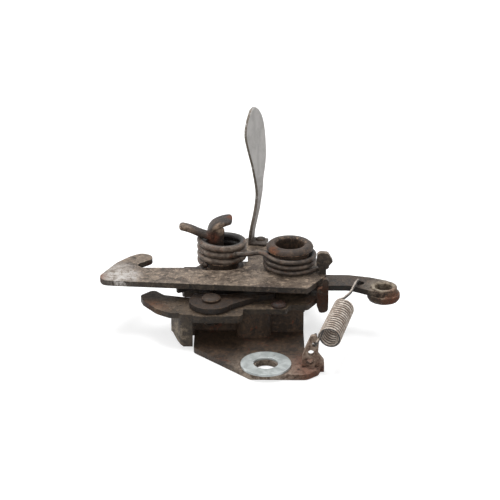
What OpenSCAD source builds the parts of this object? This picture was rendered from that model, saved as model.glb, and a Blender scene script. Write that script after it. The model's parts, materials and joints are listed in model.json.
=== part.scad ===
// Hood lock for a car bonnet.
// A hat shaped bracket carries a latch plate with a throat for the striker.
// A turning catch holds the striker and a pawl holds the catch.
// A long safety hook with a release paddle turns on a hollow bush, and a
// return spring pulls its arm against a stop.
// Everything stands on the bracket's feet, +Z up, with the front bolt hole
// at the origin. The front is at -Y and the hook points to -X.

/* [Sheets and levels] */
// Thickness of the bracket and of the latch plate
sheet_t = 3; // [2.8:0.1:3.2]
// Height of the bracket's top over the ground
bracket_h = 17; // [16:0.5:19]
// Air between the latch plate and the levers that turn on it
lever_gap = 0.3; // [0.2:0.1:0.5]
// Thickness of the pawl and of the catch
lever_t = 3; // [2.8:0.1:3.2]

/* [Bolt holes] */
// Diameter of the front bolt hole
front_bolt_d = 11; // [8:0.5:12]
// Diameter of the two rear bolt holes
rear_bolt_d = 9; // [6:0.5:11]
// Distance between the two rear bolt holes
rear_bolt_step = 40; // [34:1:42]

/* [Washer] */
// Outer diameter of the washer on the front foot
washer_d = 25.6; // [20:0.2:28]
// Hole of the washer
washer_hole = 12.5; // [11.5:0.1:14]
// Thickness of the washer
washer_t = 1.4; // [1:0.1:2]

/* [Hook pivot] */
// Bore of the hollow bush that the hook turns on
bush_bore = 15; // [12:0.5:16]
// Outer diameter of the bush where the levers turn
bush_d = 20.5; // [19.5:0.1:20.8]
// Height of the bush's rim over the ground
bush_top = 43.8; // [43:0.2:46]
// Running clearance of the levers on their pivots, at the radius
run_gap = 0.05; // [0.02:0.01:0.1]

/* [Safety hook] */
// Height of the ear that the hook spring leans on
ear_top = 42.5; // [41:0.5:46]

/* [Cable eye] */
// Hole of the eye at the end of the spring arm
eye_bore = 9; // [6:0.1:10]
// Outer diameter of the eye
eye_d = 17.2; // [16:0.2:18]
// Height of the eye's collar
eye_h = 8; // [7:0.5:9]

/* [Throat and catch] */
// Width of the throat that takes the striker
throat_w = 9; // [8:0.5:10]
// Diameter of the striker that the catch holds
striker_d = 8; // [7:0.5:8.5]
// Reach of the catch's tooth from its shaft
tooth_r = 30.9; // [30:0.1:31]
// Diameter of the catch shaft
shaft_d = 8; // [6:0.5:9]

/* [Pawl] */
// Diameter of the pawl's rivet shank
pawl_shank_d = 7; // [5:0.5:8]
// Diameter of the pawl's rivet head
pawl_head_d = 9.8; // [9:0.2:12]

/* [Catch spring] */
// Wire of the catch spring
catch_wire = 3.9; // [3:0.1:4]
// Outer diameter of the catch spring
catch_coil_d = 26.6; // [24:0.2:27]
// Turns of the catch spring
catch_turns = 2.4; // [2.2:0.05:2.5]

/* [Hook spring] */
// Wire of the hook spring
hook_wire = 2.6; // [2.4:0.1:2.7]
// Outer diameter of the hook spring
hook_coil_d = 28.4; // [27.6:0.1:29]
// Turns of the hook spring
hook_turns = 2.25; // [2:0.05:2.3]

/* [Return spring] */
// Wire of the return spring
pull_wire = 1.5; // [1.2:0.1:1.6]
// Outer diameter of the return spring at its lower end
pull_coil_d = 11.8; // [11:0.2:12]
// Turns of the return spring
pull_turns = 17; // [12:1:18]

/* [Release paddle] */
// Height of the paddle's top over the ground
paddle_top = 107.8; // [96:0.2:115]
// Greatest width of the paddle's blade
paddle_w = 32.4; // [26:0.2:38]
// Turn of the blade against the view from the front, in degrees
paddle_turn = 20; // [8:1:24]

/* [Hidden] */
$fn = 48;

// Piece that is drawn, or all of them

// Levels over the ground
plate_top = bracket_h + sheet_t;
lever_z = plate_top + lever_gap;
lever_top = lever_z + lever_t;
arm_z = lever_top + 0.7;
bar_z = arm_z + 3;
bar_top = bar_z + 3;

// Rivets that join the plate to the bracket
rivet_at = [[6.9, 34.2], [18, 80], [-34, 82.4], [-8.5, 60.5]];
rivet_r = 2.6;

// Pivots in plan
hook_at = [13, 61.5];
catch_at = [-23, 72.5];
pawl_at = [-28, 34.5];
seat_at = [-36, 49];
eye_at = [61.6, 42.5];
pull_hole_at = [49.4, 47.4];

// Outlines in plan, each corner as x, y and its rounding radius
foot_outline = [
    [-8, -10, 2.5], [20.5, -10.4, 5], [26.2, -5.4, 4], [28.9, 3, 5],
    [29.1, 8, 3], [20, 11, 3],
    [20, 41.5, 0], [-14, 43.2, 0], [-37, 43.2, 0], [-37, 20, 4]
];
web_outline = [
    [-41, 40.2, 1.8], [-15, 40.2, 0], [-15, 31.5, 4], [3, 31.5, 4],
    [3, 38.5, 0], [20, 38.5, 2], [24, 50, 6], [24, 90.5, 0], [-44, 90.5, 0],
    [-44, 58, 2], [-19, 56, 1], [-19, 43.2, 1], [-41, 43.2, 1]
];
riser_path = [
    [-41, 41.7, 0], [-13.5, 41.7, 2.5], [-13.5, 33, 3], [1.5, 33, 3],
    [1.5, 40, 2.5], [20, 40, 0]
];
rear_foot = [
    [-44, 87.5, 0], [24, 87.5, 0], [24, 105, 4], [18, 109.5, 6],
    [-18, 109.5, 6], [-44, 96, 6]
];
ear_outline = [
    [18, 0, 0], [29.3, 0, 0], [29.3, 6, 2.2], [26.2, 10, 2],
    [26.5, 16.6, 1.6], [25.3, 20, 1.4], [22.6, 19.6, 1.4], [20, 13.5, 3], [18.4, 9, 2]
];
throat_y = 49;
plate_outline = [
    [-58.7, 54.2, 2.5], [-65.6, 47, 3], [-63.8, 41, 3], [-56.4, 30.6, 5],
    [-49.5, 25.6, 3], [-44, 25.6, 2], [-41, 26.4, 1], [-36.5, 21.4, 6], [-12, 21.9, 2.5],
    [-11.5, 30, 1], [11, 30, 2], [12, 35, 2], [22, 35, 2], [26.8, 43.5, 0],
    [33, 43.5, 0], [33, 50, 4], [24, 60, 4], [24, 87, 5], [6, 91, 4],
    [-32, 91, 5], [-40, 80, 5], [-44.5, 58, 2.5],
    [-43, throat_y + throat_w / 2, 1],
    [-20, throat_y + throat_w / 2, throat_w / 2 - 0.3],
    [-20, throat_y - throat_w / 2, throat_w / 2 - 0.3],
    [-41, throat_y - throat_w / 2, 5], [-53.2, 47.6, 4]
];
skirt_path = [
    [-38.8, 25.2, 0], [-34, 24.4, 4], [-13.4, 24.1, 2], [-12.8, 31.4, 0]
];
tab_outline = [
    [26.8, 17, 0], [26.8, 26.4, 1], [29.7, 26.9, 0.5], [29.9, 32, 1],
    [32.8, 32, 1.4], [32.8, 13, 2.6], [28.2, 13, 1.4]
];
leg_path = [[-47.7, 33.6, 0], [-42.6, 24.9, 1.8], [-37.6, 24.9, 0]];
pawl_swing = 7;
pawl_tail = [
    [-22, 26, 4], [-3.4, 39.2, 8], [4.9, 41.8, 1.2], [5.6, 45.4, 1.2],
    [-4, 46.2, 3], [-14, 47, 0], [-28, 47, 0]
];
// The nose as angle about the catch's shaft and reach beyond the tooth
pawl_nose = [
    for (p = [[297.6, 0.9], [297.1, 0.3], [290.1, -0.4], [289, -0.3], [288, 0.9]])
        catch_at + (tooth_r + p[1]) * [cos(p[0]), sin(p[0])]
];
throat_turn = 210;
catch_outline = [
    [-30, 82, 4], [-42, 71, 8], [-47.6, 61, 6], [-46.6, 50, 1.5], [-40, 42, 0],
    [-33, 40, 0], [-8.3, 40, 0], [-4, 48.5, 1.2], [-11, 62, 6], [-12.5, 74, 0]
];
recess_outline = [
    [-29.5, 38], [-27, 47.5], [-20.5, 47.8], [-12.5, 50.5], [-8.7, 45.6], [-12, 38]
];
fork_web = [
    [-30.4, bar_top + 2.4, 0], [-21.6, bar_top + 2.4, 0], [-21.2, 43.6, 1.5],
    [-20.4, 48.4, 1], [-24.6, 49.8, 1.5], [-29.6, 47.4, 1.5], [-31, 42, 1.5]
];
fork_finger = [[-27.6, 43.2, 0], [-33, 44.4, 5], [-38, 46.8, 8], [-45.4, 48.6, 0]];
fork_prong = [[-29.2, 42.4, 0], [-28.8, 46.8, 3], [-23.6, 50.2, 8], [-17.2, 51.4, 0]];
// Middle line of the paddle in the X-Z plane and its outline from the side
paddle_line = -6.4;
paddle_path = [
    [2, bar_top + 1, 0], [-7.3, bar_top + 1, 1.6], [-6.6, 38, 8], [-3.4, 54, 14],
    [-3.4, 68, 14], [-5, 90, 30], [-6.9, paddle_top + 1, 0]
];
paddle_outline = [
    [-4.4, bar_top - 1, 0], [4.4, bar_top - 1, 0], [3.4, 42, 8], [3.2, 56, 6],
    [paddle_w / 2 - 2.6, 74, 12], [paddle_w / 2 + 1.4, 90, 14],
    [paddle_w / 2 - 6, 104, 10], [3, paddle_top, 4], [-4, paddle_top, 5],
    [1 - paddle_w / 2, 97, 7], [1.8 - paddle_w / 2, 89, 10], [-8.6, 76, 20],
    [-3.4, 62, 14], [-3.2, 42, 8]
];
paddle_rivet_at = [-2.2, 94.3];
arm_outline = [
    [6, 44.4, 0], [44, 44, 8], [53, 38.5, 8], [61, 34.4, 4], [69.4, 42, 5],
    [64, 50.4, 5], [55, 54.6, 8], [44, 57.6, 10], [6, 58.5, 0]
];
hook_outline = [
    [-78, 43.3, 5], [21.6, 33.9, 0.8], [29.8, 46.9, 1.5], [31.9, 50.5, 1],
    [31.9, 54.6, 1.5], [29.6, 62, 6], [26, 73, 8], [14, 79.5, 8],
    [5, 88, 6], [2.4, 92, 3], [-4.2, 100.6, 2], [-10.4, 100.6, 2],
    [-10.4, 86, 2], [-9.4, 82, 3], [-9, 69, 5], [-12, 60.4, 6],
    [-19, 56.6, 8], [-35, 57.6, 12], [-42, 60.4, 12], [-65.2, 60.4, 3],
    [-68.6, 64.2, 2.4], [-60.2, 71.4, 4.3], [-60.2, 76.4, 4.7], [-66.4, 79.8, 4],
    [-72.4, 75.2, 6], [-79.2, 66.6, 12], [-87, 49.5, 5], [-84.6, 44.2, 4]
];
hook_ear = [
    [28.2, 27, 0], [31.9, 27, 0], [31.9, 33.2, 1], [35.4, 37.4, 0.8],
    [32.8, ear_top - 0.4, 2], [27.2, ear_top, 2], [26.8, 35.4, 0.8],
    [28.2, 33.8, 0.8]
];

// Points of a rounded corner between its two neighbours
function unit2(v) = v / norm(v);
function xy(p) = [p[0], p[1]];
function corner(a, b, c, r, n = 5) =
    let(u = unit2(a - b), v = unit2(c - b), half = acos(u * v) / 2,
        d = r / tan(half), m = b + unit2(u + v) * r / sin(half),
        s = b + u * d - m, e = b + v * d - m,
        a0 = atan2(s[1], s[0]), a1 = atan2(e[1], e[0]),
        turn = (a1 - a0 + 540) % 360 - 180)
    [for (k = [0:n]) m + r * [cos(a0 + turn * k / n), sin(a0 + turn * k / n)]];

// Closed outline with its corners rounded
function rounded(pts) =
    let(n = len(pts))
    [for (i = [0:n - 1])
        let(p = pts[i], a = xy(pts[(i + n - 1) % n]), c = xy(pts[(i + 1) % n]))
        each (p[2] > 0 ? corner(a, xy(p), c, p[2]) : [xy(p)])];

// Open path with its inner corners rounded
function soft_path(pts) =
    let(n = len(pts))
    [for (i = [0:n - 1])
        let(p = pts[i])
        each (i > 0 && i < n - 1 && p[2] > 0
            ? corner(xy(pts[i - 1]), xy(p), xy(pts[i + 1]), p[2])
            : [xy(p)])];

// Outline of a strip of thickness t along an open path
function strip(path, t) =
    let(p = soft_path(path), n = len(p),
        side = [for (i = [0:n - 1])
            let(d = unit2(p[min(i + 1, n - 1)] - p[max(i - 1, 0)]))
            [-d[1], d[0]]])
    concat([for (i = [0:n - 1]) p[i] + side[i] * t / 2],
        [for (i = [n - 1:-1:0]) p[i] - side[i] * t / 2]);

// Flat sheet lying at height z
module sheet(pts, z, t) {
    translate([0, 0, z])
        linear_extrude(height = t)
            polygon(rounded(pts));
}

// Sheet standing in the X-Z plane, with its front face at y
module upright(pts, y, t) {
    translate([0, y + t, 0])
        rotate([90, 0, 0])
            linear_extrude(height = t)
                polygon(rounded(pts));
}

// Strap bent in the X-Z plane, with its front edge at y and its depth w
module strap(path, t, y, w) {
    translate([0, y + w, 0])
        rotate([90, 0, 0])
            linear_extrude(height = w)
                polygon(strip(path, t));
}

// Drilled hole along Z
module hole(at, r, z0 = -1, z1 = 60) {
    translate([at[0], at[1], z0])
        cylinder(r = r, h = z1 - z0);
}

// Round wire along a list of points, its section carried along without twist
function unit3(v) = v / norm(v);
function wire_normals(t) =
    [for (i = 0, n = unit3(cross(t[0], [0.31, 0.2, 0.93])); i < len(t);
        n = unit3(n - (n * t[min(i + 1, len(t) - 1)]) * t[min(i + 1, len(t) - 1)]),
        i = i + 1) n];
module wire(pts, d, sides = 8) {
    n = len(pts);
    t = [for (i = [0:n - 1]) unit3(pts[min(i + 1, n - 1)] - pts[max(i - 1, 0)])];
    u = wire_normals(t);
    v = [for (i = [0:n - 1]) cross(t[i], u[i])];
    ring = [for (i = [0:n - 1]) for (k = [0:sides - 1])
        pts[i] + d / 2 * (u[i] * cos(360 * k / sides) + v[i] * sin(360 * k / sides))];
    skin = [for (i = [0:n - 2]) for (k = [0:sides - 1])
        let(a = i * sides + k, b = i * sides + (k + 1) % sides)
        each [[a, b + sides, b], [a, a + sides, b + sides]]];
    cap_a = [for (k = [0:sides - 1]) k];
    cap_b = [for (k = [sides - 1:-1:0]) (n - 1) * sides + k];
    polyhedron(points = ring, faces = concat(skin, [cap_a, cap_b]));
}

// Helix about the line from p along the unit axis a, starting at direction e
function helix(p, a, e, r, pitch, turns, steps) =
    let(f = cross(a, e), n = round(turns * steps))
    [for (i = [0:n])
        let(q = 360 * turns * i / n)
        p + a * pitch * turns * i / n + r * (e * cos(q) + f * sin(q))];

steel = [0.30, 0.27, 0.24];
worn = [0.42, 0.40, 0.37];
rust = [0.45, 0.27, 0.16];
zinc = [0.70, 0.72, 0.74];
wire_grey = [0.50, 0.45, 0.40];

// Hat shaped bracket with two feet and the spring ear
module mounting_bracket() {
    color(steel)
        difference() {
            union() {
                sheet(foot_outline, 0, sheet_t);
                linear_extrude(height = bracket_h)
                    polygon(strip(riser_path, sheet_t));
                sheet(web_outline, bracket_h - sheet_t, sheet_t);
                translate([-44, 87.5, 0])
                    cube([68, sheet_t, bracket_h]);
                sheet(rear_foot, 0, sheet_t);
                upright(ear_outline, -1.5, 3);
            }
            hole([0, 0], front_bolt_d / 2, -1, 6);
            for (s = [-1, 1])
                hole([s * rear_bolt_step / 2 - 1, 100], rear_bolt_d / 2, -1, 6);
            hole(hook_at, bush_d / 2, 10, 20);
            hole(catch_at, shaft_d / 2 + run_gap, 10, 20);
            for (p = rivet_at)
                hole(p, rivet_r, 10, 20);
            ear_hole([22.2, 5.9], 1.7);
            ear_hole([22.6, 10.6], 1.6);
            ear_hole([24.5, 15.3], 1.4);
        }
}
module ear_hole(at, r) {
    translate([at[0], 5, at[1]])
        rotate([90, 0, 0])
            cylinder(r = r, h = 10);
}

// Latch plate with the throat, the horn, the front skirt, the side leg and
// the upright stop for the spring arm
module latch_plate() {
    color(steel)
        difference() {
            union() {
                sheet(plate_outline, bracket_h, sheet_t);
                translate([0, 0, plate_top - 4.6])
                    linear_extrude(height = 4.6)
                        polygon(strip(skirt_path, 2.6));
                linear_extrude(height = plate_top)
                    polygon(strip(leg_path, 2.8));
                upright(tab_outline, 40.5, 3);
            }
            hole(hook_at, bush_d / 2, 10, 30);
            hole(catch_at, shaft_d / 2 + run_gap, 10, 30);
            hole(pawl_at, pawl_shank_d / 2, 10, 30);
            for (p = rivet_at)
                hole(p, rivet_r, 10, 30);
            leg_taper();
        }
}
module leg_taper() {
    translate([0, 60, 0])
        rotate([90, 0, 0])
            linear_extrude(height = 60)
                polygon([
                    [-60, -1], [-36, -1], [-36, 1.8], [-42.4, 1.8], [-45.6, 3.6],
                    [-48, 6.2], [-60, 9]
                ]);
}

// Rivets of the latch plate, the first with a tall head and no bracket under it
module plate_rivets() {
    color(rust)
        for (i = [0:len(rivet_at) - 1]) {
            low = i == 0 ? bracket_h : bracket_h - sheet_t;
            translate([rivet_at[i][0], rivet_at[i][1], 0]) {
                translate([0, 0, low])
                    cylinder(r = rivet_r, h = plate_top - low);
                translate([0, 0, plate_top])
                    dome(i == 0 ? 3.9 : 3.4, i == 0 ? 2.3 : 0.2);
                translate([0, 0, low])
                    mirror([0, 0, 1])
                        dome(3.4, 1.6);
            }
        }
}

// Low round head of radius r and height h, standing on Z = 0
module dome(r, h) {
    c = h * 0.55;
    rotate_extrude()
        polygon([[0, 0], [r, 0], [r, h - c], [r * 0.86, h - c * 0.45],
            [r * 0.55, h], [0, h]]);
}

// Plain washer on the front foot
module bolt_washer() {
    color(zinc)
        translate([0, 0, sheet_t])
            difference() {
                cylinder(d = washer_d, h = washer_t);
                translate([0, 0, -1])
                    cylinder(d = washer_hole, h = washer_t + 2);
            }
}

// Hollow bush that the hook and the spring arm turn on, swaged at both ends
module pivot_bush() {
    r0 = bush_bore / 2;
    r1 = bush_d / 2;
    color(rust)
        translate([hook_at[0], hook_at[1], 0])
            rotate_extrude()
                polygon([
                    [r0, 12.4], [r1 + 1.6, 12.4], [r1 + 1.6, bracket_h - sheet_t],
                    [r1, bracket_h - sheet_t], [r1, plate_top],
                    [r1 + 2.6, plate_top], [r1 + 2.6, arm_z - 0.6],
                    [r1, arm_z - 0.6], [r1, bush_top - 3.6],
                    [r1 + 1.4, bush_top - 3.5], [r1 + 2.1, bush_top - 2.9],
                    [r1 + 2.2, bush_top - 2.1], [r1 + 1.8, bush_top - 1.2],
                    [r1 + 0.9, bush_top - 0.4], [r1 - 0.2, bush_top],
                    [r0 + 1, bush_top], [r0 + 0.3, bush_top - 0.5],
                    [r0, bush_top - 1.4]
                ]);
}

// Thin washer between the bush's shoulder and the spring arm
module thrust_washer() {
    color(worn)
        translate([hook_at[0], hook_at[1], arm_z - 0.6])
            difference() {
                cylinder(r = bush_d / 2 + 4, h = 0.6);
                translate([0, 0, -1])
                    cylinder(r = bush_d / 2, h = 3);
            }
}

// Pawl with its nose and its tail
module pawl() {
    color(steel)
        translate([0, 0, lever_z])
            difference() {
                linear_extrude(height = lever_t)
                    difference() {
                        union() {
                            translate(pawl_at)
                                circle(r = 11.5);
                            polygon(rounded(pawl_tail));
                        }
                        translate(catch_at)
                            circle(r = tooth_r + 0.45, $fn = 96);
                        translate(pawl_at)
                            rotate(pawl_swing)
                                translate(catch_at - pawl_at)
                                    circle(r = tooth_r + 0.45, $fn = 96);
                    }
                hole(pawl_at, pawl_shank_d / 2 + run_gap, -1, 10);
            }
    color(steel)
        translate([0, 0, lever_z])
            linear_extrude(height = lever_t)
                polygon(pawl_nose);
}

// Rivet that the pawl turns on, with a domed head
module pawl_rivet() {
    color(worn)
        translate([pawl_at[0], pawl_at[1], 0]) {
            translate([0, 0, 11])
                cylinder(r = pawl_shank_d / 2, h = lever_top + 0.3 - 11);
            translate([0, 0, lever_top + 0.3])
                dome(pawl_head_d / 2, 2.1);
            translate([0, 0, 10.2])
                cylinder(r = pawl_shank_d / 2 + 0.7, h = 0.8);
        }
}

// Small torsion spring of the pawl, under the plate
module pawl_spring() {
    r = 4.7;
    d = 1.4;
    z = bracket_h - 0.4 - d / 2;
    coil = helix([pawl_at[0], pawl_at[1], z], [0, 0, -1], [1, 0, 0], r, d + 0.15, 2.6, 16);
    color(wire_grey)
        wire(concat([[pawl_at[0] + r, pawl_at[1] - 9, z]], coil), d, 6);
}

// Catch with its claw round the striker and its tooth at the pawl's nose
module catch_plate() {
    color(steel)
        translate([0, 0, lever_z])
            difference() {
                linear_extrude(height = lever_t)
                    difference() {
                        intersection() {
                            union() {
                                translate(catch_at)
                                    circle(r = 11);
                                polygon(rounded(catch_outline));
                            }
                            union() {
                                translate(catch_at)
                                    circle(r = tooth_r, $fn = 96);
                                translate([-60, 46.6])
                                    square([20, 20]);
                            }
                        }
                        translate(seat_at)
                            circle(d = striker_d + 1.2);
                        translate(seat_at)
                            rotate(throat_turn)
                                translate([0, -(striker_d + 1.2) / 2])
                                    square([30, striker_d + 1.2]);
                        catch_recess();
                    }
                hole(catch_at, shaft_d / 2, -1, 10);
            }
}
module catch_recess() {
    polygon(recess_outline);
}

// Hub that carries the catch spring, fixed on the catch
module catch_hub() {
    color(steel)
        translate([catch_at[0], catch_at[1], 0])
            difference() {
                rotate_extrude()
                    polygon([
                        [0, lever_top], [12, lever_top], [12, lever_top + 2.4],
                        [11.4, lever_top + 2.9], [9, lever_top + 3],
                        [9, bar_top - 0.4], [8.6, bar_top], [8.4, bar_top + 1.6],
                        [7.8, bar_top + 2.2], [7, bar_top + 2.4], [0, bar_top + 2.4]
                    ]);
                translate([0, 0, lever_top - 1])
                    cylinder(d = shaft_d, h = 5);
            }
}

// Shaft of the catch with its lower head
module catch_shaft() {
    color(worn)
        translate([catch_at[0], catch_at[1], 0]) {
            translate([0, 0, 11.4])
                cylinder(r = shaft_d / 2 + 2.6, h = 2.3);
            translate([0, 0, 13.7])
                cylinder(d = shaft_d, h = lever_top + 4 - 13.7);
        }
}

// Fork that stands on the hub, with a finger to the left and a curled prong
module catch_fork() {
    y0 = catch_at[1];
    color(rust) {
        strap(fork_finger, 3, y0 - 3.2, 6.4);
        strap(fork_prong, 2.8, y0 - 3.2, 6.4);
        upright(fork_web, y0 - 1.5, 3);
    }
}

// Torsion spring of the catch, wound to the left as it rises
module catch_spring() {
    r = (catch_coil_d - catch_wire) / 2;
    z = bar_top + 0.9 + (catch_wire - 3.9) / 2;
    coil = [
        for (p = helix([catch_at[0], catch_at[1], z], [0, 0, 1], [-0.7071, -0.7071, 0],
            r, catch_wire + 0.1, catch_turns, 24))
            [2 * catch_at[0] - p[0], p[1], p[2]]
    ];
    color(wire_grey)
        wire(coil, catch_wire, 10);
}

// Arm under the hook, with the hole for the return spring and the cable eye
module spring_arm() {
    color(steel)
        difference() {
            union() {
                sheet(arm_outline, arm_z, 3);
                translate([hook_at[0], hook_at[1], arm_z])
                    cylinder(r = 15, h = 3);
            }
            hole(hook_at, bush_d / 2 + run_gap, 0, 60);
            hole(eye_at, eye_d / 2 - 1.6, 0, 60);
            hole(pull_hole_at, 2.3, 0, 60);
        }
}

// Ferrule in the arm's end that takes the release cable, with rounded rims
module cable_eye() {
    r0 = eye_bore / 2;
    r1 = eye_d / 2;
    z0 = bar_z + 0.5 - eye_h;
    z1 = bar_z + 0.5;
    color(rust)
        translate([eye_at[0], eye_at[1], 0])
            rotate_extrude()
                polygon([
                    [r0, z0], [r1 - 2.2, z0], [r1 - 0.8, z0 + 0.7], [r1 - 0.1, z0 + 1.9],
                    [r1, z0 + 3], [r1 - 0.2, arm_z], [r1 - 1.6, arm_z],
                    [r1 - 1.6, bar_z], [r1 - 1.9, z1], [r0 + 0.7, z1], [r0, z1 - 0.6]
                ]);
}

// Long safety hook with its barb, its back arm and the ear for its spring
module safety_hook() {
    color(steel)
        difference() {
            union() {
                sheet(hook_outline, bar_z, 3);
                upright(hook_ear, 51.2, 3);
            }
            hole(hook_at, bush_d / 2 + run_gap, 0, 60);
            hole(paddle_rivet_at, 1.8, 0, 60);
        }
}

// Torsion spring round the bush, wound to the left as it rises, with one leg
// behind the hook's ear and one that points at the catch spring
module hook_spring() {
    r = (hook_coil_d - hook_wire) / 2;
    z = bar_top + 0.3 + hook_wire / 2;
    pitch = (bush_top - 4.1 - bar_top - hook_wire - 0.3) / hook_turns;
    coil = [
        for (p = helix([hook_at[0], hook_at[1], z], [0, 0, 1],
            [-cos(-60), sin(-60), 0], r, pitch, hook_turns, 24))
            [2 * hook_at[0] - p[0], p[1], p[2]]
    ];
    first = coil[0];
    last = coil[len(coil) - 1];
    leg = [for (k = [3:-1:1]) first + [sin(60), cos(60), 0] * 5 * k];
    reach = [
        last + [-1.9, 3.1, 0.2], last + [-4.6, 5.1, 0.2],
        [hook_at[0] - r - 9, hook_at[1] - 2.4, last[2]],
        [hook_at[0] - r - 15.6, hook_at[1] - 2.8, last[2]]
    ];
    color(wire_grey)
        wire(concat(leg, coil, reach), hook_wire, 8);
}

// Extension spring between the arm and the bracket's ear, a little narrower
// at the arm
module return_spring() {
    p0 = [31.5, -3, 19.7];
    p1 = [40.5, 30, 21.3];
    a = unit3(p1 - p0);
    e = unit3(cross(a, cross([-1, 0.1, -0.15], a)));
    r = (pull_coil_d - pull_wire) / 2;
    n = round((pull_turns + 0.25) * 14);
    turn = helix([0, 0, 0], a, e, 1, 0, pull_turns + 0.25, 14);
    coil = [for (i = [0:n]) p0 + (p1 - p0) * i / n + turn[i] * (r - 0.8 * i / n)];
    low = [
        [24.9, 2.6, 19], [24.5, 3.3, 17.4], [24.5, 2.5, 15.8], [24.5, 0, 15.3],
        [24.7, -2.6, 15.6], [25.3, -3.5, 17.3]
    ];
    high = [
        [43.6, 34, 27.4], [46, 39, 29.2], [47.6, 43.6, 29.6], [48.7, 46.6, 28.8],
        [48.9, 47.3, 26.8], [48.8, 47.2, 22.6]
    ];
    color(wire_grey)
        wire(concat(low, coil, high), pull_wire, 6);
}

// Paddle that the hand pushes, one strip bent from its foot to its blade
module release_paddle() {
    color(zinc)
        difference() {
            translate([paddle_line, 94.3, 0])
                rotate(-paddle_turn)
                    translate([-paddle_line, -94.3, 0])
                        intersection() {
                            strap(paddle_path, 1.9, 60, 60);
                            paddle_side(paddle_outline);
                        }
            hole(paddle_rivet_at, 1.8, 20, 40);
        }
}
module paddle_side(pts) {
    translate([-30, 94.3, 0])
        rotate([90, 0, 90])
            linear_extrude(height = 60)
                polygon(rounded(pts));
}

// Rivet that holds the paddle's foot to the back arm
module paddle_rivet() {
    color(rust)
        translate([paddle_rivet_at[0], paddle_rivet_at[1], 0]) {
            translate([0, 0, bar_z])
                cylinder(r = 1.8, h = bar_top + 1.95 - bar_z);
            translate([0, 0, bar_top + 1.95])
                dome(2.7, 0.8);
            translate([0, 0, bar_z])
                mirror([0, 0, 1])
                    dome(2.7, 0.9);
        }
}

mounting_bracket();
latch_plate();
plate_rivets();
bolt_washer();
pivot_bush();
thrust_washer();
pawl();
pawl_rivet();
pawl_spring();
catch_plate();
catch_hub();
catch_shaft();
catch_fork();
catch_spring();
spring_arm();
cable_eye();
safety_hook();
hook_spring();
return_spring();
release_paddle();
paddle_rivet();
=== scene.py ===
# Hood lock: looks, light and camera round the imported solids
import json
import math

import bmesh
import bpy
import numpy as np
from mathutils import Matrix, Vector


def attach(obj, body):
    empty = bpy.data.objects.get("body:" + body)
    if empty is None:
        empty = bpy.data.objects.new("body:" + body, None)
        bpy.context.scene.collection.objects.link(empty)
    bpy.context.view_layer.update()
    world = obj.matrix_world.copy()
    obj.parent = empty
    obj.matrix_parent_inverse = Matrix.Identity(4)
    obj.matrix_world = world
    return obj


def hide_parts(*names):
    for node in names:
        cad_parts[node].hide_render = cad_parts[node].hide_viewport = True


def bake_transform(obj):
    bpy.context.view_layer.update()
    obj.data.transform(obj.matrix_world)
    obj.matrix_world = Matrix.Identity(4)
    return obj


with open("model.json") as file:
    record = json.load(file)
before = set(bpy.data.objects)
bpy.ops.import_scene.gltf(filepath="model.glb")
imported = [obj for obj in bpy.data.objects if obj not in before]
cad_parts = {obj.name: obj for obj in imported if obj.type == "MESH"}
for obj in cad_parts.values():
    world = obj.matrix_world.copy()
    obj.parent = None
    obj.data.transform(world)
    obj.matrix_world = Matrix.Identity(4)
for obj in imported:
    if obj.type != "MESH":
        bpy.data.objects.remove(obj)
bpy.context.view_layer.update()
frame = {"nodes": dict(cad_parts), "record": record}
print("frame loaded")

mm = 0.001
scene = bpy.context.scene
bodyOf = {node: body for body, nodes in frame["record"]["behaviour"]["bodies"].items() for node in nodes}


def paint(red, green, blue):
    # display values from 0 to 255 turned into linear light
    values = np.array([red, green, blue]) / 255
    linear = np.where(values <= 0.04045, values / 12.92, ((values + 0.055) / 1.055) ** 2.4)
    return (*linear.tolist(), 1.0)


def toned(tone, factor):
    # the same, made darker or lighter first
    return paint(*[min(255, c * factor) for c in tone])


def smoothRamp(values, low, high):
    # cubic step from 0 at low to 1 at high
    t = np.clip((values - low) / (high - low), 0, 1)
    return t * t * (3 - 2 * t)


def makeObject(name, points, faces, material, smooth=True, marks=None):
    mesh = bpy.data.meshes.new(name)
    mesh.from_pydata(np.asarray(points).reshape(-1, 3).tolist(), [], faces)
    mesh.materials.append(material)
    mesh.polygons.foreach_set("use_smooth", [smooth] * len(mesh.polygons))
    if marks is not None:
        # one number for each point that a material reads by the name of mark
        attribute = mesh.attributes.new("mark", "FLOAT", "POINT")
        attribute.data.foreach_set("value", np.asarray(marks, np.float32).ravel())
    mesh.update()
    piece = bpy.data.objects.new(name, mesh)
    scene.collection.objects.link(piece)
    return piece


def gridFaces(rings, sides):
    # quads between neighbouring rings of points, each ring being closed
    i, j = np.meshgrid(np.arange(rings - 1), np.arange(sides), indexing="ij")
    here, there, nextJ = i * sides, (i + 1) * sides, (j + 1) % sides
    return np.stack([here + j, here + nextJ, there + nextJ, there + j], axis=-1).reshape(-1, 4)


def unit(vectors):
    return vectors / np.linalg.norm(vectors, axis=-1, keepdims=True)


def smoothPath(points, count):
    # cubic curve through the points, whose slopes are the mean slopes of the neighbours
    points = np.array(points, float)
    reach = np.concatenate([[0], np.cumsum(np.linalg.norm(np.diff(points, axis=0), axis=1))])
    slopes = np.gradient(points, reach, axis=0)
    place = np.linspace(0, reach[-1], count)
    i = np.clip(np.searchsorted(reach, place, side="right") - 1, 0, len(points) - 2)
    step = (reach[i + 1] - reach[i])[:, None]
    t = (place - reach[i])[:, None] / step
    return ((2 * t**3 - 3 * t**2 + 1) * points[i] + (t**3 - 2 * t**2 + t) * step * slopes[i]
            + (3 * t**2 - 2 * t**3) * points[i + 1] + (t**3 - t**2) * step * slopes[i + 1])


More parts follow.
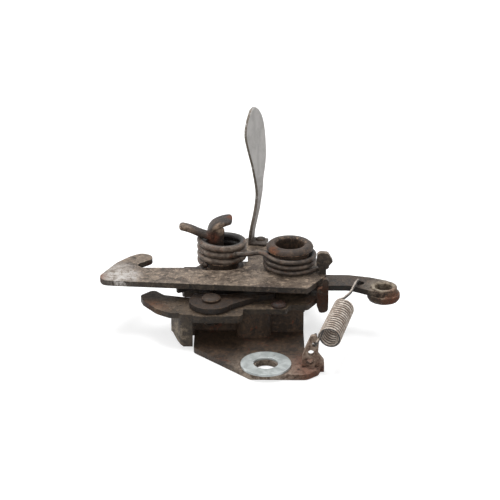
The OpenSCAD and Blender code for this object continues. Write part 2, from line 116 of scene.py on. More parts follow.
def tube(path, radius, sides, level, outward=(0, 0, 1)):
    # ring at each path point: side = path direction x level, lift = side x path direction,
    # point = centre + radius (side cos a + lift sin a), with a half ball of rings at both ends,
    # and a mark from 0 to 1 that says how far the point looks outward, which the wire materials turn into a painted
    # highlight where it is high and painted shade where it is low
    ballRings = 5
    smallest = 1e-7  # keeps the last ring of a ball from falling together
    path = np.asarray(path, float)
    ahead = unit(np.gradient(path, axis=0))
    outward = np.broadcast_to(outward, path.shape)
    side = unit(np.cross(ahead, np.broadcast_to(level, path.shape)))
    lift = np.cross(side, ahead)
    bow = np.linspace(0, math.pi / 2, ballRings)[:, None]
    head = path[:1] - ahead[:1] * np.cos(bow) * radius
    tail = path[-1:] + ahead[-1:] * np.sin(bow) * radius
    centres = np.concatenate([head, path, tail])
    sizes = np.concatenate([np.sin(bow[:, 0]), np.ones(len(path)), np.cos(bow[:, 0])]) * radius + smallest
    side, lift, outward = (np.concatenate([way[:1].repeat(ballRings, 0), way, way[-1:].repeat(ballRings, 0)])
                           for way in (side, lift, outward))
    a = np.linspace(0, 2 * math.pi, sides, endpoint=False)
    spoke = side[:, None] * np.cos(a)[:, None] + lift[:, None] * np.sin(a)[:, None]
    rings = centres[:, None] + sizes[:, None, None] * spoke
    marks = 0.5 + 0.5 * (spoke * outward[:, None]).sum(axis=-1)
    return rings.reshape(-1, 3), gridFaces(len(centres), sides), marks.ravel()


def makeWire(name, runs, material):
    # several tubes or straps as one mesh, each run being its points, faces and marks
    points, faces, marks = zip(*runs)
    starts = np.cumsum([0] + [len(run) for run in points])
    faces = np.concatenate([quads + start for quads, start in zip(faces, starts)]).tolist()
    return makeObject(name, np.concatenate(points) * mm, faces, material, marks=np.concatenate(marks))


class Nodes:
    # thin wrapper that keeps the making of a material short
    def __init__(self, name):
        self.material = bpy.data.materials.new(name)
        self.material.use_nodes = True
        self.tree = self.material.node_tree
        self.shader = self.tree.nodes["Principled BSDF"]
        self.place = self.tree.nodes.new("ShaderNodeTexCoord").outputs["Object"]

    def add(self, kind, **values):
        node = self.tree.nodes.new(kind)
        for key, value in values.items():
            setattr(node, key, value)
        return node

    def link(self, source, target):
        self.tree.links.new(source, target)

    def shift(self, offset):
        node = self.add("ShaderNodeMapping")
        self.link(self.place, node.inputs["Vector"])
        node.inputs["Location"].default_value = offset
        return node.outputs["Vector"]

    def noise(self, size, detail, rough, offset, warp=0.0):
        # size is the width of a patch in millimetres
        node = self.add("ShaderNodeTexNoise")
        self.link(self.shift(offset), node.inputs["Vector"])
        node.inputs["Scale"].default_value = 1 / (size * mm)
        node.inputs["Detail"].default_value = detail
        node.inputs["Roughness"].default_value = rough
        node.inputs["Distortion"].default_value = warp
        return node.outputs["Fac"]

    def ramp(self, source, low, high, bottom=0.0, top=1.0):
        # smooth step from bottom, where the source is low, to top, where it is high
        node = self.add("ShaderNodeMapRange", interpolation_type="SMOOTHSTEP")
        self.link(source, node.inputs["Value"])
        for key, value in (("From Min", low), ("From Max", high), ("To Min", bottom), ("To Max", top)):
            node.inputs[key].default_value = value
        return node.outputs["Result"]

    def maths(self, operation, first, second):
        node = self.add("ShaderNodeMath", operation=operation)
        for socket, value in zip(node.inputs, (first, second)):
            if isinstance(value, (int, float)):
                socket.default_value = value
            else:
                self.link(value, socket)
        return node.outputs["Value"]

    def near(self, centre, inner, outer):
        # 1 within inner millimetres of a place, 0 beyond outer
        node = self.add("ShaderNodeVectorMath", operation="DISTANCE")
        self.link(self.place, node.inputs[0])
        node.inputs[1].default_value = [c * mm for c in centre]
        return self.ramp(node.outputs["Value"], inner * mm, outer * mm, bottom=1.0, top=0.0)

    def mix(self, amount, first, second, blend="MIX"):
        node = self.add("ShaderNodeMix", data_type="RGBA", blend_type=blend)
        self.link(amount, node.inputs["Factor"])
        for key, value in (("A", first), ("B", second)):
            socket = next(s for s in node.inputs if s.name == key and s.type == "RGBA")
            if isinstance(value, tuple):
                socket.default_value = value
            else:
                self.link(value, socket)
        return next(s for s in node.outputs if s.type == "RGBA")

    def bump(self, heights, depth):
        # depth is in millimetres
        node = self.add("ShaderNodeBump")
        node.inputs["Distance"].default_value = depth * mm
        self.link(heights, node.inputs["Height"])
        self.link(node.outputs["Normal"], self.shader.inputs["Normal"])


# the steel's tones, how much lies in rust and bare metal, and its painted side shade: how light its sides are painted
# when its top is 1, darker below 1 and lighter above it
steelLooks = {
    "bar": {"dark": (64, 53, 44), "mid": (112, 99, 86), "rust": (100, 62, 42), "bright": (184, 180, 176),
            "rustShare": 0.28, "brightShare": 0.45, "side": 0.56},
    "arm": {"dark": (38, 29, 22), "mid": (58, 46, 35), "rust": (92, 60, 42), "bright": (124, 114, 102),
            "rustShare": 0.45, "brightShare": 0.35, "side": 0.52},
    "foot": {"dark": (37, 28, 21), "mid": (58, 45, 34), "rust": (96, 56, 40), "bright": (164, 150, 136),
             "rustShare": 0.5, "brightShare": 0.46, "side": 0.98},
    "plate": {"dark": (50, 41, 32), "mid": (75, 63, 51), "rust": (84, 54, 38), "bright": (132, 120, 104),
              "rustShare": 0.35, "brightShare": 0.42, "side": 0.66},
    "pawl": {"dark": (28, 20, 14), "mid": (47, 35, 25), "rust": (84, 54, 36), "bright": (128, 108, 88),
             "rustShare": 0.45, "brightShare": 0.48, "side": 0.66},
    "pin": {"dark": (37, 28, 22), "mid": (56, 44, 35), "rust": (98, 62, 42), "bright": (156, 130, 106),
            "rustShare": 0.40, "brightShare": 0.40, "side": 1.1},
    "eye": {"dark": (52, 40, 30), "mid": (78, 64, 50), "rust": (104, 62, 44), "bright": (160, 149, 132),
            "rustShare": 0.55, "brightShare": 0.5, "side": 0.84},
    "fork": {"dark": (30, 23, 19), "mid": (48, 38, 31), "rust": (94, 58, 43), "bright": (148, 128, 110),
             "rustShare": 0.42, "brightShare": 0.34, "side": 1.08},
    "rivet": {"dark": (28, 19, 15), "mid": (42, 28, 21), "rust": (76, 40, 28), "bright": (104, 84, 72),
              "rustShare": 0.7, "brightShare": 0.25, "side": 0.8},
}


def rustySteel(name, look, wornSpots=(), rustSpots=(), wearAndEdgeHighlight=0.0):
    # brown scale over dark steel with dust patches, rust in patches, bare metal where it was rubbed, and painted shade
    # on the sides so that the tops look lit;
    # the edge setting from 0 to 1 brings out more bare metal and lifts that painted side shade, for the rounded edges
    look = steelLooks[look]
    dark, mid, bright = (paint(*look[tone]) for tone in ("dark", "mid", "bright"))
    nodes = Nodes(name)
    patches = nodes.noise(11, detail=6, rough=0.66, offset=(0.3, 0.1, 0.7), warp=0.7)
    flakes = nodes.noise(2.6, detail=7, rough=0.75, offset=(0.9, 0.4, 0.2), warp=0.4)
    grain = nodes.noise(0.7, detail=4, rough=0.7, offset=(0.2, 0.6, 0.1))
    colour = nodes.mix(nodes.ramp(patches, 0.36, 0.62), dark, mid)
    pits = nodes.ramp(flakes, 0.37, 0.50, bottom=0.85, top=0.0)
    colour = nodes.mix(pits, colour, toned(look["dark"], 0.45))
    dustPatches = nodes.noise(2.3, detail=7, rough=0.74, offset=(0.2, 0.8, 0.5), warp=0.4)
    colour = nodes.mix(nodes.ramp(dustPatches, 0.49, 0.66, top=0.85), colour, toned(look["mid"], 1.42))
    for centre, inner, outer, strength in wornSpots:
        # dust and pits are rubbed away there
        rubbedAndCrestLight = nodes.maths("MULTIPLY", nodes.near(centre, inner, outer), 0.6 * strength)
        colour = nodes.mix(rubbedAndCrestLight, colour, mid)
    rustEdge = 0.68 - 0.2 * look["rustShare"]
    rustPatches = nodes.noise(6, detail=8, rough=0.72, offset=(0.6, 0.3, 0.9), warp=1.0)
    rust = nodes.ramp(rustPatches, rustEdge, rustEdge + 0.12, top=0.8)
    for centre, inner, outer in rustSpots:
        spot = nodes.maths("MULTIPLY", nodes.near(centre, inner, outer), nodes.ramp(flakes, 0.34, 0.54))
        rust = nodes.maths("MAXIMUM", rust, spot)
    rustTone = nodes.mix(nodes.ramp(grain, 0.35, 0.65), toned(look["rust"], 0.8), toned(look["rust"], 1.22))
    colour = nodes.mix(rust, colour, rustTone)
    bareEdge = 0.68 - 0.1 * look["brightShare"] - 0.16 * wearAndEdgeHighlight
    shine = nodes.ramp(flakes, bareEdge, 0.80 - 0.12 * wearAndEdgeHighlight, top=0.85)
    for centre, inner, outer, strength in wornSpots:
        bare = nodes.ramp(flakes, 0.34, 0.62, top=strength)
        shine = nodes.maths("MAXIMUM", shine, nodes.maths("MULTIPLY", nodes.near(centre, inner, outer), bare))
    colour = nodes.mix(shine, colour, bright)
    # painted shade and painted light: faces that look sideways or down are painted to the side level, darker below 1
    # and lighter above it, less so where the metal is bare
    facing = nodes.add("ShaderNodeSeparateXYZ")
    nodes.link(nodes.add("ShaderNodeTexCoord").outputs["Normal"], facing.inputs[0])
    paintedSideShade = nodes.ramp(facing.outputs["Z"], 0.15, 0.8, bottom=1.0, top=0.0)
    covered = nodes.ramp(shine, 0.2, 0.8, bottom=1.0, top=0.15)
    # the edge setting lifts the painted side shade, a painted highlight on the rounded edges
    level = (look["side"] + 0.3 * wearAndEdgeHighlight) ** 2.2
    colour = nodes.mix(nodes.maths("MULTIPLY", paintedSideShade, covered), colour,
                       (level, level * 0.97, level * 0.93, 1), blend="MULTIPLY")
    nodes.link(colour, nodes.shader.inputs["Base Color"])
    nodes.link(nodes.ramp(shine, 0.0, 1.0, bottom=0.05, top=0.5), nodes.shader.inputs["Metallic"])
    matt = nodes.maths("ADD", rust, nodes.maths("MULTIPLY", grain, 0.4))
    nodes.link(nodes.ramp(matt, 0.1, 1.3, bottom=0.5, top=0.9), nodes.shader.inputs["Roughness"])
    nodes.shader.inputs["Specular IOR Level"].default_value = 0.3
    grit = nodes.maths("MULTIPLY", nodes.maths("ADD", grain, rust), 0.25)
    nodes.bump(nodes.maths("ADD", nodes.maths("MULTIPLY", flakes, 0.8), grit), 0.5)
    return nodes.material


def springWire(name, tone, edge, rustTone, rustShare, grooveShade, shine=0.35, inside=False):
    # brown wire with lighter rubbed streaks and fine rust, with painted light and shade from the mark: light where the
    # mark is 1, outside the coil, and painted shade where it is a half, in the grooves between the turns, and 0, inside
    # the coil; inside makes 0 as light as 1
    nodes = Nodes(name)
    streaks = nodes.noise(4, detail=6, rough=0.65, offset=(0.4, 0.1, 0.6), warp=0.8)
    grain = nodes.noise(0.6, detail=4, rough=0.6, offset=(0.1, 0.2, 0.3))
    crestLightMark = nodes.add("ShaderNodeAttribute", attribute_name="mark").outputs["Fac"]
    if inside:
        crestLightMark = nodes.maths("ADD", nodes.maths("ABSOLUTE", nodes.maths("SUBTRACT", crestLightMark, 0.5), 0.0), 0.5)
    colour = nodes.mix(nodes.ramp(streaks, 0.4, 0.64), paint(*tone), paint(*edge))
    rustEdge = 0.62 - 0.2 * rustShare
    rustPatches = nodes.noise(3.2, detail=7, rough=0.7, offset=(0.7, 0.9, 0.1))
    colour = nodes.mix(nodes.ramp(rustPatches, rustEdge, rustEdge + 0.12, top=0.8), colour, paint(*rustTone))
    rubbedAndCrestLight = nodes.maths("ADD", crestLightMark, nodes.ramp(grain, 0.3, 0.7, bottom=-0.08, top=0.08))
    # painted shade where the mark is low, so that the crests stand out as a painted highlight
    colour = nodes.mix(nodes.ramp(rubbedAndCrestLight, *grooveShade["reach"], bottom=1.0, top=0.0), colour, paint(*grooveShade["tone"]))
    nodes.link(colour, nodes.shader.inputs["Base Color"])
    nodes.link(nodes.ramp(rubbedAndCrestLight, *grooveShade["reach"], top=shine), nodes.shader.inputs["Metallic"])
    nodes.link(nodes.ramp(grain, 0.3, 0.7, bottom=0.42, top=0.66), nodes.shader.inputs["Roughness"])
    nodes.bump(grain, 0.12)
    return nodes.material


def zincCoat(name, tone, pale, stain, roughness, metallic):
    # cool grey coat, mottled, with brown stains
    nodes = Nodes(name)
    cloud = nodes.noise(6, detail=6, rough=0.6, offset=(0.2, 0.5, 0.8), warp=0.5)
    grain = nodes.noise(0.9, detail=5, rough=0.65, offset=(0.5, 0.3, 0.1))
    colour = nodes.mix(nodes.ramp(cloud, 0.35, 0.65), paint(*tone), paint(*pale))
    stainPatches = nodes.noise(3.2, detail=7, rough=0.72, offset=(0.8, 0.1, 0.4))
    colour = nodes.mix(nodes.ramp(stainPatches, 0.60, 0.72, top=0.7), colour, paint(*stain))
    nodes.link(colour, nodes.shader.inputs["Base Color"])
    nodes.shader.inputs["Metallic"].default_value = metallic
    nodes.link(nodes.ramp(grain, 0.3, 0.7, bottom=roughness - 0.08, top=roughness + 0.1),
               nodes.shader.inputs["Roughness"])
    nodes.bump(grain, 0.1)
    return nodes.material


def paddleCoat(name, face, pale, edge, stem, foot):
    # grey coat on the broad faces, worn dark with light flecks on the narrow edge, brown and darker towards the bottom
    # of the stem
    stemFade, footFade, uneven = (0.046, 0.066), (0.032, 0.040), 0.006  # heights in metres
    nodes = Nodes(name)
    cloud = nodes.noise(8, detail=6, rough=0.6, offset=(0.2, 0.5, 0.8), warp=0.5)
    grain = nodes.noise(0.9, detail=5, rough=0.65, offset=(0.5, 0.3, 0.1))
    flecks = nodes.noise(1.8, detail=6, rough=0.75, offset=(0.1, 0.9, 0.3))
    colour = nodes.mix(nodes.ramp(cloud, 0.35, 0.65), paint(*face), paint(*pale))
    stainPatches = nodes.noise(3.5, detail=7, rough=0.72, offset=(0.8, 0.1, 0.4))
    colour = nodes.mix(nodes.ramp(stainPatches, 0.62, 0.76, top=0.45), colour, paint(*edge))
    rim = nodes.add("ShaderNodeAttribute", attribute_name="mark").outputs["Fac"]
    edgeTone = nodes.mix(nodes.ramp(flecks, 0.5, 0.68), paint(*edge), paint(*pale))
    colour = nodes.mix(nodes.ramp(rim, 0.3, 0.7), colour, edgeTone)
    height = nodes.add("ShaderNodeSeparateXYZ")
    nodes.link(nodes.place, height.inputs[0])
    low = nodes.maths("ADD", height.outputs["Z"], nodes.ramp(flecks, 0.3, 0.7, bottom=-uneven, top=uneven))
    colour = nodes.mix(nodes.ramp(low, *stemFade, bottom=0.9, top=0.0), colour, paint(*stem))
    colour = nodes.mix(nodes.ramp(low, *footFade, bottom=0.9, top=0.0), colour, paint(*foot))
    nodes.link(colour, nodes.shader.inputs["Base Color"])
    nodes.shader.inputs["Metallic"].default_value = 0.15
    nodes.link(nodes.ramp(grain, 0.3, 0.7, bottom=0.5, top=0.66), nodes.shader.inputs["Roughness"])
    nodes.bump(nodes.maths("ADD", grain, nodes.maths("MULTIPLY", rim, flecks)), 0.15)
    return nodes.material


# places in millimetres, how far each is full and where it ends, and how strongly the worn ones are rubbed
spots = {
    "foot": {"wornSpots": [((0, -10, 2), 4, 30, 0.8), ((25, 0, 12), 4, 15, 0.9)],
             "rustSpots": [((24, -4, 3), 4, 22), ((25, 0, 14), 1, 9)]},
    "plate": {"wornSpots": [((-44, 29, 9), 3, 13, 0.9), ((-58, 29, 18), 2, 9, 0.6)],
              "rustSpots": [((-60, 32, 17), 3, 13), ((30, 41, 22), 3, 12)]},
    "bar": {"wornSpots": [((-75.5, 50, 30), 5, 13, 1.0), ((-77, 59, 30), 3, 11, 0.6)],
            "rustSpots": [((-87, 49, 29), 2, 7), ((-62, 71, 25), 2, 6)]},
    "arm": {"wornSpots": [((61, 42, 28), 7, 12, 0.7)], "rustSpots": [((64, 36, 23), 4, 13)]},
    "eye": {"wornSpots": [((61, 42, 28), 3, 10, 0.9)], "rustSpots": [((66, 37, 22), 3, 9)]},
    "pin": {"rustSpots": [((3, 53, 44), 1, 6)]},
    "fork": {"wornSpots": [((-23, 66.5, 47.5), 4.4, 6.4, 1.0), ((-43, 68, 49), 2, 8, 0.7)],
             "rustSpots": [((-28, 71, 43), 1, 5), ((-17, 76, 53), 1, 5)]},
}
steels = {name: rustySteel(name + "Steel", name, **spots.get(name, {})) for name in steelLooks}
# the edge copies show more bare metal and carry less painted side shade, a painted highlight on the rounded edges
wornEdgesAndHighlights = {name: rustySteel(name + "Edge", name, wearAndEdgeHighlight=1.0, **spots.get(name, {})) for name in steelLooks}
# the groove tones are the painted shade between, inside and under the turns of the wire
coilWire = springWire("coilWire", tone=(66, 55, 46), edge=(112, 99, 88), rustTone=(96, 64, 46), rustShare=0.45,
                      grooveShade={"tone": (26, 21, 18), "reach": (0.45, 0.85)})
brightWire = springWire("brightWire", tone=(146, 131, 118), edge=(198, 187, 176), rustTone=(122, 92, 72),
                        rustShare=0.25, grooveShade={"tone": (24, 19, 16), "reach": (0.62, 0.90)}, shine=0.2, inside=True)
hookWireDark = springWire("hookWireDark", tone=(50, 42, 36), edge=(88, 76, 66), rustTone=(88, 58, 42), rustShare=0.4,
                          grooveShade={"tone": (20, 16, 14), "reach": (0.4, 0.8)})
washerZinc = zincCoat("washerZinc", tone=(150, 155, 154), pale=(186, 191, 190), stain=(112, 102, 92),
                      roughness=0.42, metallic=0.5)
paddleZinc = paddleCoat("paddleZinc", face=(156, 153, 150), pale=(176, 173, 170), edge=(90, 81, 71),
                        stem=(100, 89, 80), foot=(58, 48, 40))
print("materials made")

nodeLooks = {
    "mounting_bracket": steels["foot"], "latch_plate": steels["plate"], "plate_rivets": steels["rivet"],
    "bolt_washer": washerZinc, "pivot_bush": steels["pin"], "thrust_washer": steels["pawl"], "pawl": steels["pawl"],
    "pawl_rivet": steels["pawl"], "pawl_spring": coilWire, "catch_plate": steels["pawl"], "catch_hub": steels["pin"],
    "catch_shaft": steels["rivet"], "catch_fork": steels["fork"], "catch_spring": coilWire, "spring_arm": steels["arm"],
    "safety_hook": steels["bar"], "hook_spring": coilWire, "return_spring": brightWire,
    "release_paddle": paddleZinc, "paddle_rivet": steels["pin"], "cable_eye": steels["eye"],
}
for nodeName, material in nodeLooks.items():
    solid = frame["nodes"][nodeName]
    solid.data.materials.clear()
    solid.data.materials.append(material)

# how far the edges of each piece are rounded over, in millimetres
softEdges = {
    "mounting_bracket": 0.55, "latch_plate": 0.5, "safety_hook": 0.6, "spring_arm": 0.6, "cable_eye": 0.3,
    "pawl": 0.4, "catch_plate": 0.4, "bolt_washer": 0.25, "plate_rivets": 0.3, "pivot_bush": 0.3, "pawl_rivet": 0.35,
    "catch_hub": 0.4,
}


def softenEdges(nodeName, width):
    # a merged copy of the solid whose flat faces are joined and whose edges are rounded over
    mergeReach, flatAngle, edgeAngle = 0.002, 0.6, 35  # millimetres and degrees
    source = frame["nodes"][nodeName]
    mesh = source.data.copy()
    work = bmesh.new()
    work.from_mesh(mesh)
    bmesh.ops.remove_doubles(work, verts=work.verts, dist=mergeReach * mm)
    bmesh.ops.dissolve_limit(work, angle_limit=math.radians(flatAngle), verts=work.verts, edges=work.edges)
    work.to_mesh(mesh)
    work.free()
    mesh.polygons.foreach_set("use_smooth", [True] * len(mesh.polygons))
    piece = bpy.data.objects.new(nodeName + ".soft", mesh)
    scene.collection.objects.link(piece)
    bevel = piece.modifiers.new("roundedEdges", "BEVEL")
    bevel.width = width * mm
    bevel.segments = 3
    bevel.limit_method = "ANGLE"
    bevel.angle_limit = math.radians(edgeAngle)
    bevel.use_clamp_overlap = True
    look = source.data.materials[0].name.removesuffix("Steel")
    # the rounded edges take the copy with more bare metal and a painted highlight
    if look in wornEdgesAndHighlights:
        mesh.materials.append(wornEdgesAndHighlights[look])
        bevel.material = 1
    normals = piece.modifiers.new("flatFaces", "WEIGHTED_NORMAL")
    normals.keep_sharp = True
    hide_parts(nodeName)
    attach(piece, bodyOf[nodeName])
    return piece


for nodeName, width in softEdges.items():
    piece = softenEdges(nodeName, width)
print("pressed pieces softened")

# the torsion springs wind as centre + (radius cos t, -radius sin t, pitch t / turn), rising to the left as seen from
# the front and starting at an angle in degrees; the return spring's axis runs from low to high
catchCoil = {"centre": (-23, 72.5, 29.72), "radius": 11.45, "wire": 1.8, "pitch": 3.7, "from": -220, "turns": 3.14}
hookCoil = {"centre": (13, 61.5, 31.6), "radius": 12.9, "wire": 1.3, "pitch": 3.02, "from": 60, "turns": 2.25}
pullCoil = {"low": (31.5, -3, 19.7), "high": (40.5, 30, 21.3), "radius": 5.15, "narrower": 0.4, "wire": 0.75,
            "turns": 15.25}


def winding(coil, count):
    t = math.radians(coil["from"]) + np.linspace(0, 2 * math.pi * coil["turns"], count)
    rise = coil["pitch"] * (t - t[0]) / (2 * math.pi)
    x, y, z = coil["centre"]
    return np.stack([x + coil["radius"] * np.cos(t), y - coil["radius"] * np.sin(t), z + rise], axis=1)


def awayFrom(coil, centre):
    # level direction from the coil's axis to each of its points, never of no length
    return unit((coil - np.array(centre)) * (1, 1, 0) + (0, 0, 1e-6))


def catchWire():
    coil = winding(catchCoil, 240)
    return [tube(coil, catchCoil["wire"], sides=20, level=(0, 0, 1), outward=awayFrom(coil, catchCoil["centre"]))]


def hookWire():
    # a straight leg, the coil, and a bent leg that takes the place of the coil's last points
    lap, bentCount = 8, 60
    coil = winding(hookCoil, 170)
    straight = coil[0] + np.array([0.866, 0.5, 0]) * np.linspace(15, 0.6, 24)[:, None]
    bent = smoothPath([coil[-lap], coil[-1], coil[-1] + (-1.9, 3.1, 0.2), coil[-1] + (-4.6, 5.1, 0.2),
                       (-8.9, 59.1, coil[-1][2]), (-15.5, 58.7, coil[-1][2])], bentCount)
    path = np.concatenate([straight, coil[:-lap], bent])
    outward = awayFrom(path, hookCoil["centre"])
    # the bent leg is marked highest on its upper front: a painted highlight there and painted shade below
    outward[-bentCount:] = (0, -0.5, 0.866)
    return [tube(path, hookCoil["wire"], sides=18, level=(0, 0, 1), outward=outward)]


def pullWire():
    # the radius shrinks evenly along the axis: point = low + (high - low) u + radius (first cos t + second sin t)
    low, high = np.array(pullCoil["low"], float), np.array(pullCoil["high"], float)
    axis = unit(high - low)
    first = unit(np.cross(axis, np.cross((-1, 0.1, -0.15), axis)))
    second = np.cross(axis, first)
    u = np.linspace(0, 1, 720)[:, None]
    t = 2 * math.pi * pullCoil["turns"] * u
    radius = pullCoil["radius"] - pullCoil["narrower"] * u
    spoke = first * np.cos(t) + second * np.sin(t)
    coil = low + (high - low) * u + radius * spoke
    lowHook = smoothPath([(24.9, 2.6, 19), (24.5, 3.3, 17.4), (24.5, 2.5, 15.8), (24.5, 0, 15.3), (24.7, -2.6, 15.6),
                          (25.3, -3.5, 17.3), coil[0], coil[8]], 60)
    highHook = smoothPath([coil[-9], coil[-1], (43.6, 34, 27.4), (46, 39, 29.2), (47.6, 43.6, 29.6),
                           (48.7, 46.6, 28.8), (48.9, 47.3, 26.8), (48.8, 47.2, 22.6)], 80)
    wire, sides = pullCoil["wire"], 12
    # the coil's mark gives painted shade inside and between the turns; both hooks are marked highest on top, a painted
    # highlight along their tops and painted shade underneath
    return [tube(coil, wire, sides, level=axis, outward=spoke),
            tube(lowHook, wire, sides, level=(-0.96, 0.05, -0.28)),
            tube(highHook, wire, sides, level=(0.86, -0.5, 0.1), outward=(-0.2, 0, 0.62))]


catchSpring = makeWire("catchSpring", catchWire(), coilWire)
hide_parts("catch_spring")
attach(catchSpring, "catch")
hookSpring = makeWire("hookSpring", hookWire(), hookWireDark)
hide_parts("hook_spring")
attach(hookSpring, "hook")
pullSpring = makeWire("pullSpring", pullWire(), brightWire)
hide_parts("return_spring")
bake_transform(pullSpring)
print("springs wound")


def makeStrap(strap):
    # section round each point of the line: half thickness x |sin a|^0.6 off the line, half depth x |cos a|^0.5 along y;
    # over the last points t runs up to nearly 1, and the root of 1 - t squared rounds the end off:
    # the thickness closes and the depth shrinks to about a third
    count, sides, straight = 70, 32, 62
    line = smoothPath(strap["line"], count)
    place, half = line[:, :2], line[:, 2]
    ahead = unit(np.gradient(place, axis=0))
    off = np.stack([-ahead[:, 1], ahead[:, 0]], axis=1)
    t = np.clip((np.arange(count) - straight) / (count - 1 - straight), 0, 0.999)
    end = np.sqrt(1 - t**2)[:, None]
    a = np.linspace(0, 2 * math.pi, sides, endpoint=False)
    outward = np.sign(np.sin(a)) * np.abs(np.sin(a)) ** 0.6 * half[:, None] * end
    deep = np.sign(np.cos(a)) * np.abs(np.cos(a)) ** 0.5 * strap["deep"] * (0.35 + 0.65 * end)
    x = place[:, :1] + off[:, :1] * outward
    z = place[:, 1:] + off[:, 1:] * outward
    points = np.stack([x, strap["y"] + deep, z], axis=-1)
    first, last = (points[k].mean(axis=0, keepdims=True).repeat(sides, 0)[None] for k in (0, -1))
    rings = np.concatenate([first, points, last])
    return rings.reshape(-1, 3), gridFaces(len(rings), sides), np.zeros(len(rings) * sides)


# the paddle: half width of the section and x of its middle, both along z, and x of its foot's two ends;
# it is turned by the first angle up to the lower height and by the second from the upper one
paddle = {
    "y": 94.3, "turn": (14.0, 20.0), "turnHeights": (34, 56), "thick": 0.95, "bottom": 30.05, "top": 107.6,
    "foot": (-7.6, 1.8), "footDeep": 4.3,
    "half": [(30.05, 4.4), (36, 4.3), (42, 4.2), (48, 3.7), (54, 3.3), (60, 3.9), (66, 5.3), (72, 7.8), (78, 9.8),
             (84, 11.4), (90, 12.6), (95, 12.8), (99, 11.4), (102.4, 8.8), (105, 5.8), (106.8, 3.0), (107.6, 0.5)],
    "middle": [(30.05, -7.3), (36, -6.9), (42, -5.8), (48, -4.6), (54, -3.7), (60, -3.1), (66, -3.2), (72, -3.2),
               (78, -3.5), (84, -4.3), (90, -5.2), (96, -6.1), (107.6, -6.7)],
}


def makePaddle():
    # section at height z: across = half width x |cos a|^0.3 signed, through = half thickness x |sin a|^0.3 signed,
    # with the rear half up to a tenth wider in the blade and the thickness closing over the last bit of height;
    # the mark is 1 on the narrow edge faces and 0 on the broad faces
    square, widerFrom, widerTo, closing, edgeFrom = 0.3, 40, 90, 0.8, 0.985
    z = paddle["bottom"] + (paddle["top"] - paddle["bottom"]) * np.sin(np.linspace(0, math.pi / 2, 150))
    half, middle = (np.interp(z, *smoothPath(paddle[key], 400).T)[:, None] for key in ("half", "middle"))
    a = np.linspace(0, 2 * math.pi, 56, endpoint=False)
    edge = np.abs(np.cos(a)) ** square
    across = np.sign(np.cos(a)) * edge
    through = np.sign(np.sin(a)) * np.abs(np.sin(a)) ** square * paddle["thick"]
    reach = half * across * np.where(across > 0, 1 + 0.1 * smoothRamp(z, widerFrom, widerTo)[:, None], 1)
    thin = np.clip((paddle["top"] - z) / closing, 0.05, 1)[:, None] ** 0.5
    angle = -np.radians(np.interp(z, paddle["turnHeights"], paddle["turn"]))[:, None]
    x = middle + through * thin * np.cos(angle) - reach * np.sin(angle)
    y = paddle["y"] + through * thin * np.sin(angle) + reach * np.cos(angle)
    points = np.stack([x, y, np.broadcast_to(z[:, None], x.shape)], axis=-1)
    marks = np.broadcast_to(edge > edgeFrom, x.shape)
    # the foot lies flat on the arm: a strap from the stem outwards, turned as the stem is
    start, end = paddle["foot"]
    middleHeight = paddle["bottom"] + paddle["thick"]
    middleLine = [(start + (end - start) * k / 3, middleHeight, paddle["thick"]) for k in range(4)]
    foot, footFaces, footMarks = makeStrap({"line": middleLine, "y": 0.0, "deep": paddle["footDeep"]})
    turn = -math.radians(paddle["turn"][0])
    away = foot[:, 0] - start
    foot = np.stack([start + away * math.cos(turn) - foot[:, 1] * math.sin(turn),
                     paddle["y"] + away * math.sin(turn) + foot[:, 1] * math.cos(turn), foot[:, 2]], axis=1)
    blade = (points.reshape(-1, 3), gridFaces(len(z), len(a)), marks.ravel())
    return makeWire("paddleBlade", [blade, (foot, footFaces, footMarks)], paddleZinc)


paddleBlade = makePaddle()
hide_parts("release_paddle")
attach(paddleBlade, "hook")

# the fork's bent straps, each a line of x, z and half thickness, with the half depth across y
straps = {
    "finger": {"line": [(-27.6, 43.2, 1.5), (-31.4, 43.9, 1.7), (-35.5, 45.4, 1.7), (-40, 47.4, 1.7),
                        (-45.6, 48.9, 1.6)], "y": 72.5, "deep": 3.2},
    "prong": {"line": [(-29.4, 42.4, 1.5), (-28.9, 45.6, 1.7), (-27.2, 48.0, 1.9), (-24.4, 49.6, 2.0),
                       (-21.0, 50.9, 1.7), (-17.4, 51.6, 1.2)], "y": 75.1, "deep": 5.9},
    "web": {"line": [(-26.4, 32.5, 4.2), (-26.4, 38.0, 4.3), (-26.2, 43.0, 4.4), (-25.6, 46.5, 4.2),
                     (-25.0, 49.0, 3.4)], "y": 72.5, "deep": 1.5},
}
fork = makeWire("forkStraps", [makeStrap(strap) for strap in straps.values()], steels["fork"])
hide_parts("catch_fork")
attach(fork, "catch")
print("paddle and fork made")

view = {"elevation": 23.5, "distance": 0.9, "target": (-0.008, 0.0165, 0.0592), "lens": 129.6, "sensor": 36}


def makeCamera():
    data = bpy.data.cameras.new("camera")
    data.lens = view["lens"]
    data.sensor_width = view["sensor"]
    data.clip_start = 0.01
    camera = bpy.data.objects.new("camera", data)
    scene.collection.objects.link(camera)
    tilt = math.radians(view["elevation"])
    away = Vector((0, -math.cos(tilt), math.sin(tilt))) * view["distance"]
    camera.location = Vector(view["target"]) + away
    camera.rotation_euler = (-away).to_track_quat("-Z", "Y").to_euler()
    scene.camera = camera


def makeLamp(name, place, aim, size, power):
    data = bpy.data.lights.new(name, "AREA")
    data.shape = "DISK"
    data.size = size
    data.energy = power
    lamp = bpy.data.objects.new(name, data)
    lamp.location = place
    lamp.rotation_euler = (Vector(aim) - Vector(place)).to_track_quat("-Z", "Y").to_euler()
    scene.collection.objects.link(lamp)


def seenRays(tree):
    # 1 for the rays of the camera, of reflections and of transmission, 0 for all others
    rays = tree.nodes.new("ShaderNodeLightPath")
    total = rays.outputs["Is Camera Ray"]
    for kind in ("Is Glossy Ray", "Is Transmission Ray"):
        larger = tree.nodes.new("ShaderNodeMath")
        larger.operation = "MAXIMUM"
        tree.links.new(total, larger.inputs[0])
        tree.links.new(rays.outputs[kind], larger.inputs[1])
        total = larger.outputs["Value"]
    return total


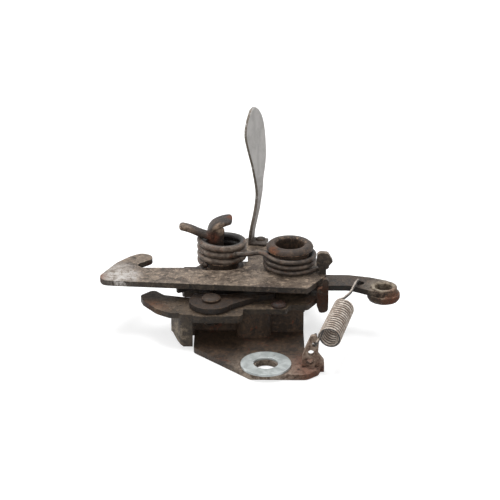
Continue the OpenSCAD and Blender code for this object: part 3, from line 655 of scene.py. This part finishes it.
def paleGround(name, colour, shade, glow):
    # to the camera and to reflections the ground is pale and glows nearly white, so that it still takes the shadow,
    # and to all other rays it is a grey that throws little light up at the object
    material = bpy.data.materials.new(name)
    material.use_nodes = True
    tree = material.node_tree
    tree.nodes.clear()
    output = tree.nodes.new("ShaderNodeOutputMaterial")
    pale = tree.nodes.new("ShaderNodeBsdfDiffuse")
    pale.inputs["Color"].default_value = colour
    light = tree.nodes.new("ShaderNodeEmission")
    light.inputs["Strength"].default_value = glow
    grey = tree.nodes.new("ShaderNodeBsdfDiffuse")
    grey.inputs["Color"].default_value = shade
    both = tree.nodes.new("ShaderNodeAddShader")
    tree.links.new(pale.outputs[0], both.inputs[0])
    tree.links.new(light.outputs[0], both.inputs[1])
    choice = tree.nodes.new("ShaderNodeMixShader")
    tree.links.new(seenRays(tree), choice.inputs[0])
    tree.links.new(grey.outputs[0], choice.inputs[1])
    tree.links.new(both.outputs[0], choice.inputs[2])
    tree.links.new(choice.outputs[0], output.inputs["Surface"])
    return material


def makeSky(strength):
    # dim white light all round, and plain white behind everything that the camera sees
    world = bpy.data.worlds.new("studio")
    scene.world = world
    world.use_nodes = True
    tree = world.node_tree
    sky = tree.nodes["Background"]
    sky.inputs["Color"].default_value = (1, 1, 1, 1)
    level = tree.nodes.new("ShaderNodeMapRange")
    tree.links.new(seenRays(tree), level.inputs["Value"])
    level.inputs["To Min"].default_value = strength
    level.inputs["To Max"].default_value = 1.0
    tree.links.new(level.outputs["Result"], sky.inputs["Strength"])


floorReach, floorHeight = 6, -0.0002  # metres, a little below the feet
corners = [(x * floorReach, y * floorReach, floorHeight) for x, y in ((-1, -1), (1, -1), (1, 1), (-1, 1))]
ground = paleGround("paleFloor", colour=(0.5, 0.5, 0.5, 1), shade=(0.16, 0.16, 0.16, 1), glow=0.62)
floor = makeObject("floor", corners, [(0, 1, 2, 3)], ground, smooth=False)
makeSky(0.5)
makeLamp("topLamp", place=(-0.1, 0.25, 0.95), aim=(0, 0.04, 0.02), size=0.6, power=8)
makeLamp("leftLamp", place=(-0.95, 0.15, 0.4), aim=(0, 0.04, 0.03), size=0.6, power=4.0)
makeLamp("rightLamp", place=(0.85, 0.0, 0.45), aim=(0, 0.04, 0.03), size=0.6, power=2.0)
makeLamp("frontLamp", place=(-0.15, -0.95, 0.4), aim=(0, 0.04, 0.03), size=0.7, power=3.2)
makeCamera()
scene.view_settings.view_transform = "Standard"
print("stage set")
